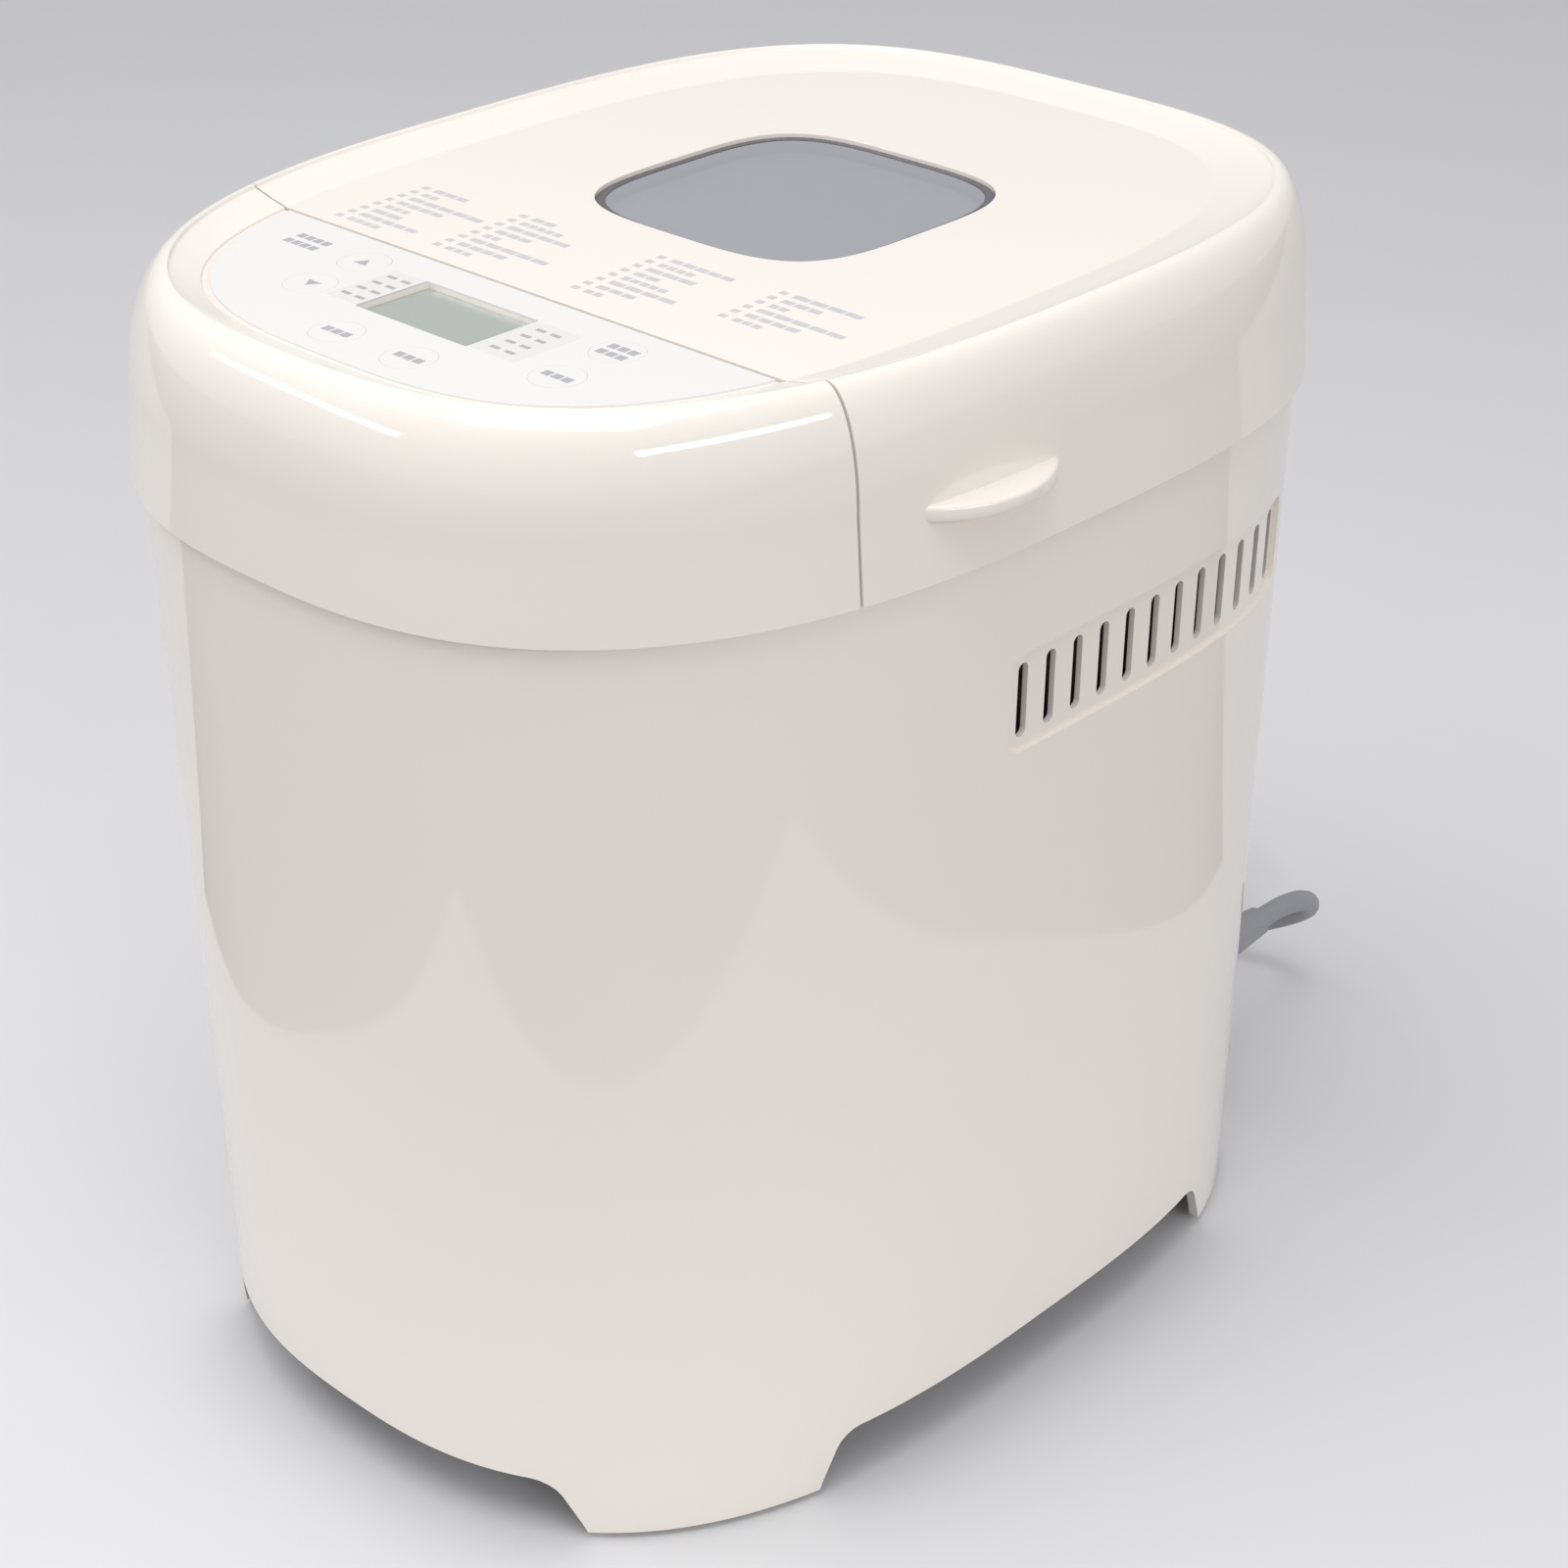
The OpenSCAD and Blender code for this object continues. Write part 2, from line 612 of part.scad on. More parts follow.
power_z = 140;
module power_board() color(board_green) translate([0, -lid_front - 6, power_z]) {
  translate([-60, 0, 0]) cube([120, 1.6, 78]);
  for (x = [-54, 54], z = [6, 72]) translate([x, 1.6 - e, z]) rotate([-90, 0, 0]) cylinder(6.4 + e, r = 2.5);
  translate([-50, -22, 14]) cube([34, 22 + e, 28]);
  translate([-6, -16, 12]) cube([20, 16 + e, 26]);
  translate([22, -20, 10]) cube([26, 20 + e, 3]);
  translate([22, -20, 30]) cube([26, 20 + e, 3]);
  for (x = [-36, -20, 0, 20]) translate([x, e, 60]) rotate([90, 0, 0]) cylinder(14, r = 5);
}

// ---- Hinge ----
module body_hinge() color(ivory) difference() {
  for (s = [-1, 1]) translate([s * hinge_x - hinge_w / 2, hinge_y, hinge_z]) {
    rotate([0, 90, 0]) cylinder(hinge_w, r = hinge_r);
    translate([0, -15, -16]) cube([hinge_w, 15, 12]);
    translate([0, -4, -16]) cube([hinge_w, 6, 16]);
  }
  body_solid(0, 200, body_top);
  for (s = [-1, 1]) translate([s * hinge_x - hinge_w, hinge_y, hinge_z]) rotate([0, 90, 0])
    cylinder(2 * hinge_w, r = pin_r);
}

module hinge_pins() color(steel) for (s = [-1, 1])
  translate([s * hinge_x - hinge_w / 2 - hinge_ear - 0.4, hinge_y, hinge_z]) rotate([0, 90, 0])
    cylinder(hinge_w + 2 * hinge_ear + 0.8, r = pin_r);

lug_gap = 0.4;
module lid_hinge() color(ivory) difference() {
  for (x = lug_places) translate([x, hinge_y, hinge_z]) {
    rotate([0, 90, 0]) cylinder(hinge_ear, r = hinge_r);
    translate([0, -1, 0]) cube([hinge_ear, 1 + hinge_r, 17]);
    translate([0, -12, 8]) cube([hinge_ear, 12, 9]);
  }
  casing_solid(0, 0);
  for (x = lug_places) translate([x - 1, hinge_y, hinge_z]) rotate([0, 90, 0]) cylinder(hinge_ear + 2, r = pin_r + run);
}
lug_places = [for (s = [-1, 1], k = [-hinge_w / 2 - hinge_ear - lug_gap, hinge_w / 2 + lug_gap]) s * hinge_x + k];

// ---- Lid ----
lid_y = -lid_front + lid_gap / 2;
liner_gap = 3;
liner_z = seam_z + 2;
dome_w = chamber_w - 44;
dome_l = chamber_l - 30;
dome_top = flat_z - 15;
frame_w = 2.5;
tab_r = 30.2;
tab_out = 6.6;
tab_y = -29;
tab_z = seam_z + 15;
tab_t = 4;

module lid_skin() difference() {
  intersection() {
    casing_solid(0, 0);
    behind(lid_y, 1000);
  }
  intersection() {
    casing_hollow();
    behind(lid_y + wall, 1000);
  }
}

module lid_shell() color(ivory) difference() {
  union() {
    lid_skin();
    for (s = [-1, 1]) intersection() {
      translate([s * (half_w + tab_out - tab_r), tab_y, tab_z]) cylinder(tab_t, r = tab_r);
      translate([s * (half_w - 4 + 40), tab_y, tab_z]) cube([80, 100, 40], center = true);
    }
    for (p = lid_screw_places) boss(p, liner_z + sheet, flat_z - 1 - liner_z - sheet);
  }
  bake_centre() translate([0, 0, flat_z - 20]) linear_extrude(40) polygon(squircle(window_w));
  for (p = lid_screw_places) translate([p[0], p[1], liner_z - 2]) cylinder(12, r = screw_r);
}
lid_screw_x = half_w - 19;
lid_screw_places = [for (s = [-1, 1], y = [-40, 72]) [s * lid_screw_x, y]];

module liner_outline(k) intersection() {
  polygon(oval(half_w - wall - liner_gap - k, casing_front, casing_back - wall - liner_gap - k));
  translate([-200, lid_y + wall + 1 + k]) square(400);
}

module lid_liner() color(steel) difference() {
  union() {
    translate([0, 0, liner_z]) linear_extrude(sheet) liner_outline(0);
    bake_centre() translate([0, 0, liner_z]) linear_extrude(dome_top + sheet - liner_z) rounded(dome_w + 2 * sheet, dome_l + 2 * sheet, 26);
  }
  bake_centre() translate([0, 0, liner_z - 1]) linear_extrude(dome_top - liner_z + 1) rounded(dome_w, dome_l, 26 - sheet);
  bake_centre() translate([0, 0, dome_top - 5]) linear_extrude(20) polygon(squircle(window_w - 2 * frame_w));
  for (p = lid_screw_places) translate([p[0], p[1], liner_z - 2]) cylinder(12, r = screw_r);
}

module lid_gasket() color([0.75, 0.2, 0.15]) bake_centre() translate([0, 0, chamber_top + fit])
  linear_extrude(liner_z - chamber_top - fit) difference() {
    rounded(chamber_w + 5, chamber_l + 5, chamber_r + 2.5);
    rounded(chamber_w - 2, chamber_l - 2, chamber_r - 1);
  }

module lid_screws() color(steel) for (p = lid_screw_places)
  translate([p[0], p[1], liner_z - head_h]) screw(11, screw_r, screw_head_r, head_h);

glass_t = 3;
glass_drop = 1.2;
module window_frame() color([0.45, 0.45, 0.46]) bake_centre() translate([0, 0, dome_top + sheet + glass_t])
  linear_extrude(flat_z - glass_drop - 2 * glass_t - dome_top - sheet) difference() {
    polygon(squircle(window_w - 2 * fit));
    polygon(squircle(window_w - 2 * frame_w - 2));
  }

module window_outer() color([0.55, 0.56, 0.58, 0.6]) bake_centre() translate([0, 0, flat_z - glass_drop - glass_t])
  linear_extrude(glass_t) polygon(squircle(window_w - 2 * fit));

module window_inner() color([0.7, 0.72, 0.74, 0.5]) bake_centre() translate([0, 0, dome_top + sheet])
  linear_extrude(glass_t) polygon(squircle(window_w - 2 * fit));

// ---- Bread pan ----
pan_floor = chamber_z + 24;
pan_t = 2;
pan_top = pan_floor + pan_h;
pan_r = 22;
pan_draft = 0.94;
ear_z = pan_top + 6;
handle_r = 2.2;
handle_len = pan_l / 2 - 19.6;
handle_corner = 14;
handle_half = pan_w / 2 - 6;
boss_r = 10;

module bread_pan() color([0.25, 0.25, 0.27]) bake_centre() difference() {
  union() {
    translate([0, 0, pan_top]) mirror([0, 0, 1]) linear_extrude(pan_h, scale = pan_draft) rounded(pan_w, pan_l, pan_r);
    translate([0, 0, pan_top - 3]) linear_extrude(3) rounded(pan_w + 5, pan_l + 5, pan_r + 2.5);
  }
  translate([0, 0, pan_top + e]) mirror([0, 0, 1]) linear_extrude(pan_h - pan_t + e, scale = pan_draft)
    rounded(pan_w - 2 * pan_t, pan_l - 2 * pan_t, pan_r - pan_t);
  translate([0, 0, pan_floor - 2]) cylinder(10, r = boss_r - 3);
}

base_low = chamber_z + sheet + 0.2;
module pan_base() color([0.6, 0.6, 0.62]) bake_centre() difference() {
  union() {
    translate([0, 0, base_low]) cylinder(pan_floor - base_low, r = socket_r - 3);
    for (s = [0, 180]) rotate([0, 0, s]) translate([socket_r - 4, -4, base_low]) cube([1.6, 8, 4]);
  }
  translate([0, 0, base_low - 1]) cylinder(pan_floor - 3 - base_low + 1, r = socket_r - 6);
  translate([0, 0, chamber_z]) cylinder(60, r = boss_r);
}

module pan_bearing() color(brass) bake_centre() difference() {
  union() {
    translate([0, 0, pan_floor - 3]) cylinder(3, r = boss_r);
    translate([0, 0, pan_floor - 1]) cylinder(7, r = boss_r - 3);
  }
  translate([0, 0, pan_floor - 10]) cylinder(30, r = shaft_r + run);
}

module pan_ears() color(steel) bake_centre() for (s = [-1, 1]) difference() {
  translate([s * (pan_w / 2 - 1), 0, 0]) union() {
    translate([-1, -9, pan_top]) cube([2, 18, ear_z - pan_top]);
    translate([-1, 0, ear_z]) rotate([0, 90, 0]) cylinder(2, r = 9);
  }
  translate([s * pan_w / 2, 0, ear_z]) rotate([0, 90, 0]) cylinder(10, r = handle_r + run, center = true);
  translate([s * pan_w / 2 - 5, -20, pan_top - 10]) cube([10, 40, 10]);
}

// The handle lies forward over the pan at rest
module pan_handle() color(steel) translate([0, bake_y, ear_z]) {
  c = handle_corner;
  for (s = [-1, 1]) {
    translate([s * handle_half, 0, 0]) rotate([0, s * 90, 0]) cylinder(pan_w / 2 + 1 - handle_half, r = handle_r);
    translate([s * handle_half, 0, 0]) sphere(handle_r);
    translate([s * handle_half, -handle_len + c, 0]) rotate([-90, 0, 0]) cylinder(handle_len - c, r = handle_r);
    translate([s * (handle_half - c), -handle_len + c, 0]) rotate([0, 0, s > 0 ? -90 : 180])
      rotate_extrude(angle = 90) translate([c, 0]) circle(handle_r, $fn = 24);
  }
  translate([-handle_half + c, -handle_len, 0]) rotate([0, 90, 0]) cylinder(2 * (handle_half - c), r = handle_r);
}

blade_z = pan_floor + 7;
module pan_shaft() color(steel) bake_centre() {
  translate([0, 0, coupler_z + 5]) cylinder(blade_z + 14 - coupler_z - 5, r = shaft_r);
  translate([-13, -2, coupler_z + 5]) cube([26, 4, 5]);
}

module kneading_blade() color([0.2, 0.2, 0.21]) bake_centre() translate([0, 0, blade_z]) difference() {
  union() {
    cylinder(16, r1 = 10, r2 = 8);
    translate([0, -2, 0]) cube([44, 4, 5]);
    translate([30, -2, 0]) cube([14, 4, 18]);
    translate([6, -2, 0]) cube([28, 4, 12]);
  }
  translate([0, 0, -1]) cylinder(15, r = shaft_r);
}

// ---- Mains cord ----
cord_d = 6.5;
gland_out = 26;
gland_y = 136;
cord_exit = gland_y + gland_out;
coil_x = -46;
coil_y = 216;
coil_ring = 39;
// Route of the cord from the gland down to the table and along to the coil
cord_route = [[62, 162, 52], [62, 173, 51.8], [61, 184, 49], [58, 195, 43], [52, 205, 34], [43, 212, 25],
  [32, 214, 17], [19, 211, 10], [6, 203, 5.5], [-7, 193, 3.6], [-20, 183, 3.25], [-33, 176, 3.25],
  [-46, 173.7, 3.25]];

// Smooth curve through the points
function spline(p, i, t) =
  let (n = len(p) - 1, a = p[max(i - 1, 0)], b = p[i], c = p[i + 1], d = p[min(i + 2, n)])
  0.5 * (2 * b + (c - a) * t + (2 * a - 5 * b + 4 * c - d) * t * t + (3 * b - a - 3 * c + d) * t * t * t);
function smooth_path(p, k) =
  concat([for (i = [0 : len(p) - 2]) for (j = [0 : k - 1]) spline(p, i, j / k)], [p[len(p) - 1]]);
function unit(v) = v / norm(v);

module sweep(path, r, sides) {
  n = len(path);
  rings = [for (i = [0 : n - 1])
    let (t = unit(path[min(i + 1, n - 1)] - path[max(i - 1, 0)]), u = unit(cross(t, [0.3, 0.2, 1])), v = cross(t, u))
    [for (k = [0 : sides - 1]) path[i] + r * (cos(360 * k / sides) * u + sin(360 * k / sides) * v)]];
  loft(rings);
}

module cord_gland() color(dark) translate([gland_x, 0, gland_z]) rotate([-90, 0, 0]) difference() {
  union() {
    translate([0, 0, gland_y - 22]) cylinder(22, r = gland_r);
    translate([0, 0, gland_y - 1]) cylinder(3, r = gland_r + 2);
    translate([0, 0, gland_y]) cylinder(gland_out, r1 = gland_r - 0.5, r2 = cord_d / 2 + 1.2);
  }
  translate([0, 0, gland_y - 23]) cylinder(gland_out + 20, r = cord_d / 2);
}

module mains_cord() color(dark) sweep(smooth_path(cord_route, 2), cord_d / 2, 10);

module cord_coil() color(dark) translate([coil_x, coil_y, 0])
  rotate_extrude() translate([coil_ring - cord_d, 0]) square([2 * cord_d, 2 * cord_d]);

plug_x = coil_x - coil_ring - cord_d / 2;
plug_y = coil_y + 44;
blade_gap = 12.7;
module mains_plug() color(dark) translate([plug_x, plug_y, 8]) rotate([0, 0, -90]) {
  translate([-14, -12, -8]) cube([28, 24, 16]);
  translate([14 - e, 0, 0]) rotate([0, 90, 0]) cylinder(16, r1 = 6, r2 = cord_d / 2 + 0.8);
  for (y = [-1, 1]) translate([-14 - 17, y * blade_gap / 2 - 0.75, -3.2]) cube([17 + e, 1.5, 6.4]);
}

body_shell();
base_plate();
rubber_feet();
base_screws();
chamber_deck();
deck_screws();
control_housing();
control_overlay();
lcd_lens();
lcd_module();
control_board();
board_screws();
tact_switches();
key_up();
key_down();
key_crust();
key_size();
key_start();
key_cancel();
baking_chamber();
pan_socket();
heating_element();
heater_clips();
temperature_sensor();
thermal_fuse();
drive_plate();
bearing_housing();
bearing_bush();
motor();
motor_rotor();
motor_fan();
run_capacitor();
drive_belt();
drive_pulley();
drive_coupler();
heat_shield();
power_board();
body_hinge();
hinge_pins();
lid_shell();
lid_liner();
lid_hinge();
lid_gasket();
lid_screws();
window_frame();
window_outer();
window_inner();
bread_pan();
pan_base();
pan_bearing();
pan_ears();
pan_handle();
pan_shaft();
kneading_blade();
cord_gland();
mains_cord();
cord_coil();
mains_plug();
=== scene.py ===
import math
import bmesh
import bpy
from mathutils import Matrix, Vector


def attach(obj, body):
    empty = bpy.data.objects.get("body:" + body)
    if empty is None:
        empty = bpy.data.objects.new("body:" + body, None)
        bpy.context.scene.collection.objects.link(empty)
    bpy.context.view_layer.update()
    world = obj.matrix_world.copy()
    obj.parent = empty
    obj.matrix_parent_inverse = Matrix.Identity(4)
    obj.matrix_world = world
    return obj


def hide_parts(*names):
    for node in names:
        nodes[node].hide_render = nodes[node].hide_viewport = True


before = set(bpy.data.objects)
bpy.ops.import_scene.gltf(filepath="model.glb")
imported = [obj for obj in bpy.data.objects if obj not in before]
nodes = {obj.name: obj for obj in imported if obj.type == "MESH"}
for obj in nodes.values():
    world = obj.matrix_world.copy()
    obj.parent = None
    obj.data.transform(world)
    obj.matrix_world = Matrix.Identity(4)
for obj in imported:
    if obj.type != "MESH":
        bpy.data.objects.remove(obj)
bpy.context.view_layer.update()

# ---- Camera ----
# A portrait lens looks down over the front right-hand corner, far enough away
# that the tall casing draws in only a little towards its foot.
turn, tilt, lean = math.radians(43.49), math.radians(28.773), math.radians(-0.155)
back = Vector((math.sin(turn) * math.cos(tilt), -math.cos(turn) * math.cos(tilt), math.sin(tilt)))
level = Vector((math.cos(turn), math.sin(turn), 0))
rise = back.cross(level)
right = level * math.cos(lean) + rise * math.sin(lean)
rise = back.cross(right)
lens = bpy.data.cameras.new("camera")
lens.sensor_width = 36
lens.lens = 73.18
camera = bpy.data.objects.new("camera", lens)
bpy.context.collection.objects.link(camera)
stand = Vector((0.5268, -0.5360, 0.5536))
camera.matrix_world = Matrix([[right[i], rise[i], back[i], stand[i]] for i in range(3)] + [[0, 0, 0, 1]])
bpy.context.scene.camera = camera


# ---- Mains cord ----
# A light two-core lead, 6.5 mm thick, leaves the rear wall through a tapered relief,
# falls to the table and is wound into a small coil, with a two-blade plug on its end.
def linear(r, g, b):
    """A colour of 0 to 255 as the shader's numbers."""
    return tuple(((c / 255 + 0.055) / 1.055) ** 2.4 if c > 10 else c / 255 / 12.92 for c in (r, g, b)) + (1,)


def finish(name, colour, rough, grain=600, depth=0.02, spread=0.08, tone=0.03, metal=0.0, coat=0.0,
           relief=0.0004):
    """A material whose tone, roughness and surface vary a little, as a moulded or worked face does."""
    m = bpy.data.materials.new(name)
    m.use_nodes = True
    tree = m.node_tree
    shader = tree.nodes["Principled BSDF"]
    shader.inputs["Metallic"].default_value = metal
    shader.inputs["Coat Weight"].default_value = coat
    shader.inputs["Coat Roughness"].default_value = 0.04
    place = tree.nodes.new("ShaderNodeTexCoord")
    broad = tree.nodes.new("ShaderNodeTexNoise")
    broad.inputs["Scale"].default_value = 14
    broad.inputs["Detail"].default_value = 3
    fine = tree.nodes.new("ShaderNodeTexNoise")
    fine.inputs["Scale"].default_value = grain
    fine.inputs["Detail"].default_value = 2
    for n in (broad, fine):
        tree.links.new(place.outputs["Object"], n.inputs["Vector"])
    tint = tree.nodes.new("ShaderNodeMix")
    tint.data_type = "RGBA"
    tint.inputs["A"].default_value = [c * (1 - tone) for c in colour[:3]] + [1]
    tint.inputs["B"].default_value = [min(1, c * (1 + tone)) for c in colour[:3]] + [1]
    tree.links.new(broad.outputs["Fac"], tint.inputs["Factor"])
    tree.links.new(tint.outputs["Result"], shader.inputs["Base Color"])
    gloss = tree.nodes.new("ShaderNodeMapRange")
    gloss.inputs["To Min"].default_value = max(0.01, rough - spread / 2)
    gloss.inputs["To Max"].default_value = rough + spread / 2
    tree.links.new(broad.outputs["Fac"], gloss.inputs["Value"])
    tree.links.new(gloss.outputs["Result"], shader.inputs["Roughness"])
    bump = tree.nodes.new("ShaderNodeBump")
    bump.inputs["Strength"].default_value = depth
    bump.inputs["Distance"].default_value = relief
    tree.links.new(fine.outputs["Fac"], bump.inputs["Height"])
    tree.links.new(bump.outputs["Normal"], shader.inputs["Normal"])
    return m


def wear(piece, material):
    """Gives a piece one finish all over."""
    piece.data.materials.clear()
    piece.data.materials.append(material)
    return piece


cord_grey = finish("cord_grey", linear(150, 151, 156), 0.5, grain=900, depth=0.15)
cord_thick = 0.0065
run_out = [Vector(p) / 1000 for p in (
    (62, 162, 52), (62, 173, 51.8), (61, 184, 49), (58, 195, 43), (52, 205, 34), (43, 212, 25),
    (32, 214, 17), (19, 211, 10), (6, 203, 5.5), (-7, 193, 3.6), (-20, 183, 3.25), (-33, 176, 3.25),
    (-46, 173.7, 3.25))]
line = []
for i in range(len(run_out) - 1):
    a, b, c, d = (run_out[min(max(k, 0), len(run_out) - 1)] for k in (i - 1, i, i + 1, i + 2))
    for t in (0, 0.25, 0.5, 0.75):
        line.append(0.5 * (2 * b + (c - a) * t + (2 * a - 5 * b + 4 * c - d) * t * t
                           + (3 * b - a - 3 * c + d) * t ** 3))
coil_middle, coil_wide, coil_tight = Vector((-0.046, 0.216, 0)), 0.04230, 0.03575
coil_sweep, coil_step = 1170, 10


def ease(x, start, end):
    """Goes smoothly from 0 at start to 1 at end."""
    u = min(1, max(0, (x - start) / (end - start)))
    return u * u * (3 - 2 * u)


# The turns lie side by side first, and then on top of the first two.
for wound in range(0, coil_sweep + 1, coil_step):
    inward = ease(wound, 250, 345) - ease(wound, 810, 905)
    radius = coil_wide + (coil_tight - coil_wide) * inward
    height = cord_thick / 2 + cord_thick * ease(wound, 540, 625)
    bearing = math.radians(-90 - wound)
    line.append(coil_middle + Vector((radius * math.cos(bearing), radius * math.sin(bearing), height)))
line += [Vector((-0.08830, 0.2225, 0.0096)), Vector((-0.08828, 0.2285, 0.0087)),
         Vector((-0.08825, 0.2350, 0.0080))]
curve = bpy.data.curves.new("mains_lead", "CURVE")
curve.dimensions = "3D"
spline = curve.splines.new("POLY")
spline.points.add(len(line) - 1)
for point, p in zip(spline.points, line):
    point.co = (*p, 1)
curve.bevel_depth = cord_thick / 2
curve.bevel_resolution = 4
curve.use_fill_caps = True
mains_lead = bpy.data.objects.new("mains_lead", curve)
bpy.context.collection.objects.link(mains_lead)
wear(mains_lead, cord_grey)
for s in curve.splines:
    s.use_smooth = True
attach(mains_lead, "body")
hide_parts("mains_cord", "cord_coil")
wear(nodes["cord_gland"], cord_grey)
# The plug is moulded round its two blades, so one finish turns to bright metal past its face.
plug_face = 0.2741
plug_grey = finish("plug_grey", linear(150, 151, 156), 0.45, grain=900, depth=0.15)
tree = plug_grey.node_tree
shader = tree.nodes["Principled BSDF"]
place = next(n for n in tree.nodes if n.type == "TEX_COORD")
split = tree.nodes.new("ShaderNodeSeparateXYZ")
tree.links.new(place.outputs["Object"], split.inputs["Vector"])
past = tree.nodes.new("ShaderNodeMath")
past.operation = "GREATER_THAN"
past.inputs[1].default_value = plug_face
tree.links.new(split.outputs["Y"], past.inputs[0])
tree.links.new(past.outputs["Value"], shader.inputs["Metallic"])
wear(nodes["mains_plug"], plug_grey)

# ---- Body shell ----
# One tall moulding in glossy cream plastic, oval in plan, that narrows slightly to the
# foot. Its skirt is cut away between four feet, and each side has a row of air slots.
cream = finish("glossy_cream", linear(244, 238, 230), 0.07, grain=260, depth=0.03, spread=0.05, tone=0.012,
               coat=0.3, relief=0.0002)


def oval_point(t, half, front, rear, square_front=2.6, square_rear=3.3):
    """A point of the casing's outline: fuller than an ellipse, and squarer at the rear."""
    s, c = math.sin(t), math.cos(t)
    n, depth = (square_front, front) if s < 0 else (square_rear, rear)
    return (half * math.copysign(abs(c) ** (2 / n), c), depth * math.copysign(abs(s) ** (2 / n), s))


def oval_skin(levels, points=256):
    """A closed skin through ovals: each level is (half width, front, rear, height), then the squareness."""
    bm = bmesh.new()
    turn_of = bm.verts.layers.float.new("turn")
    bmesh.ops.create_circle(bm, segments=points, radius=1)
    for v in bm.verts:
        v[turn_of] = math.atan2(v.co.y, v.co.x)
    ring = list(bm.edges)
    bmesh.ops.contextual_create(bm, geom=ring)

    def settle(verts, size):
        for v in verts:
            v.co.xy = oval_point(v[turn_of], *size[:3], *size[4:])
            v.co.z = size[3]

    settle(bm.verts, levels[0])
    for size in levels[1:]:
        out = bmesh.ops.extrude_edge_only(bm, edges=ring)["geom"]
        ring = [g for g in out if isinstance(g, bmesh.types.BMEdge)]
        settle([g for g in out if isinstance(g, bmesh.types.BMVert)], size)
    bmesh.ops.contextual_create(bm, geom=ring)
    bmesh.ops.recalc_face_normals(bm, faces=bm.faces)
    return bm


def piece_of(bm, name):
    """Makes a mesh into an object, at the origin."""
    mesh = bpy.data.meshes.new(name)
    bm.to_mesh(mesh)
    bm.free()
    piece = bpy.data.objects.new(name, mesh)
    bpy.context.collection.objects.link(piece)
    return piece


def cut(piece, tool):
    """Cuts a piece with a tool, and throws the tool away."""
    step = piece.modifiers.new("cut", "BOOLEAN")
    step.operation, step.object, step.solver = "DIFFERENCE", tool, "EXACT"
    bpy.context.view_layer.update()
    made = bpy.data.meshes.new_from_object(piece.evaluated_get(bpy.context.evaluated_depsgraph_get()))
    piece.modifiers.remove(step)
    old, piece.data = piece.data, made
    bpy.data.meshes.remove(old)
    bpy.data.objects.remove(tool)
    return piece


def soften(piece, width=0.0, angle=35):
    """Smooth shading with crisp edges, and a small round on them."""
    piece.data.shade_smooth()
    piece.data.set_sharp_from_angle(angle=math.radians(angle))
    if width:
        edge = piece.modifiers.new("edge", "BEVEL")
        edge.width, edge.segments, edge.limit_method = width, 2, "ANGLE"
        edge.angle_limit = math.radians(angle)
    return piece


half, front, rear = 0.112, 0.1487, 0.143
foot_draw = 0.004
body_low, body_high = 0.002, 0.2522
wall = 0.0028
edge_round = 0.0004


def body_level(z, inset=0.0):
    """The body's outline at a height, moved in by an inset."""
    d = foot_draw * (1 - (z - body_low) / (body_high - body_low)) + inset
    return (half - d, front - d, rear - d, z)


body_heights = (body_low, 0.012, 0.03, 0.08, 0.14, 0.18, 0.21, 0.235, body_high)
body_skin = piece_of(oval_skin([body_level(z) for z in body_heights]), "body_skin")
cut(body_skin, piece_of(oval_skin([body_level(z, wall) for z in (-0.01, 0.1, 0.27)]), "tool"))


def prism(outline, low, high, corner=0.0, rounds=4):
    """A flat outline drawn up into a bar, with its corners rounded; it runs along Z."""
    bm = bmesh.new()
    face = bm.faces.new([bm.verts.new((x, y, low)) for x, y in outline])
    if corner:
        bmesh.ops.bevel(bm, geom=bm.verts[:], offset=corner, affect="VERTICES", segments=rounds, profile=0.5,
                        material=-1)
    out = bmesh.ops.extrude_face_region(bm, geom=bm.faces[:])["geom"]
    bmesh.ops.translate(bm, vec=(0, 0, high - low), verts=[g for g in out if isinstance(g, bmesh.types.BMVert)])
    bmesh.ops.recalc_face_normals(bm, faces=bm.faces)
    return bm


reach = 0.3  # tools run this far through the casing


def arch(half_length, axis, middle=0.0):
    """The gap under the skirt between two feet, with leaning flanks."""
    low, top = -0.02, 0.018
    wide, widest = half_length + 0.007, half_length + 0.013
    bm = prism([(-widest, low), (widest, low), (wide, body_low), (half_length, top), (-half_length, top),
                (-wide, body_low)], -reach, reach, corner=0.005)
    bmesh.ops.rotate(bm, cent=(0, 0, 0), matrix=Matrix.Rotation(math.radians(90), 3, "X"), verts=bm.verts)
    if axis == "X":
        bmesh.ops.rotate(bm, cent=(0, 0, 0), matrix=Matrix.Rotation(math.radians(90), 3, "Z"), verts=bm.verts)
        bmesh.ops.translate(bm, vec=(0, middle, 0), verts=bm.verts)
    return bm


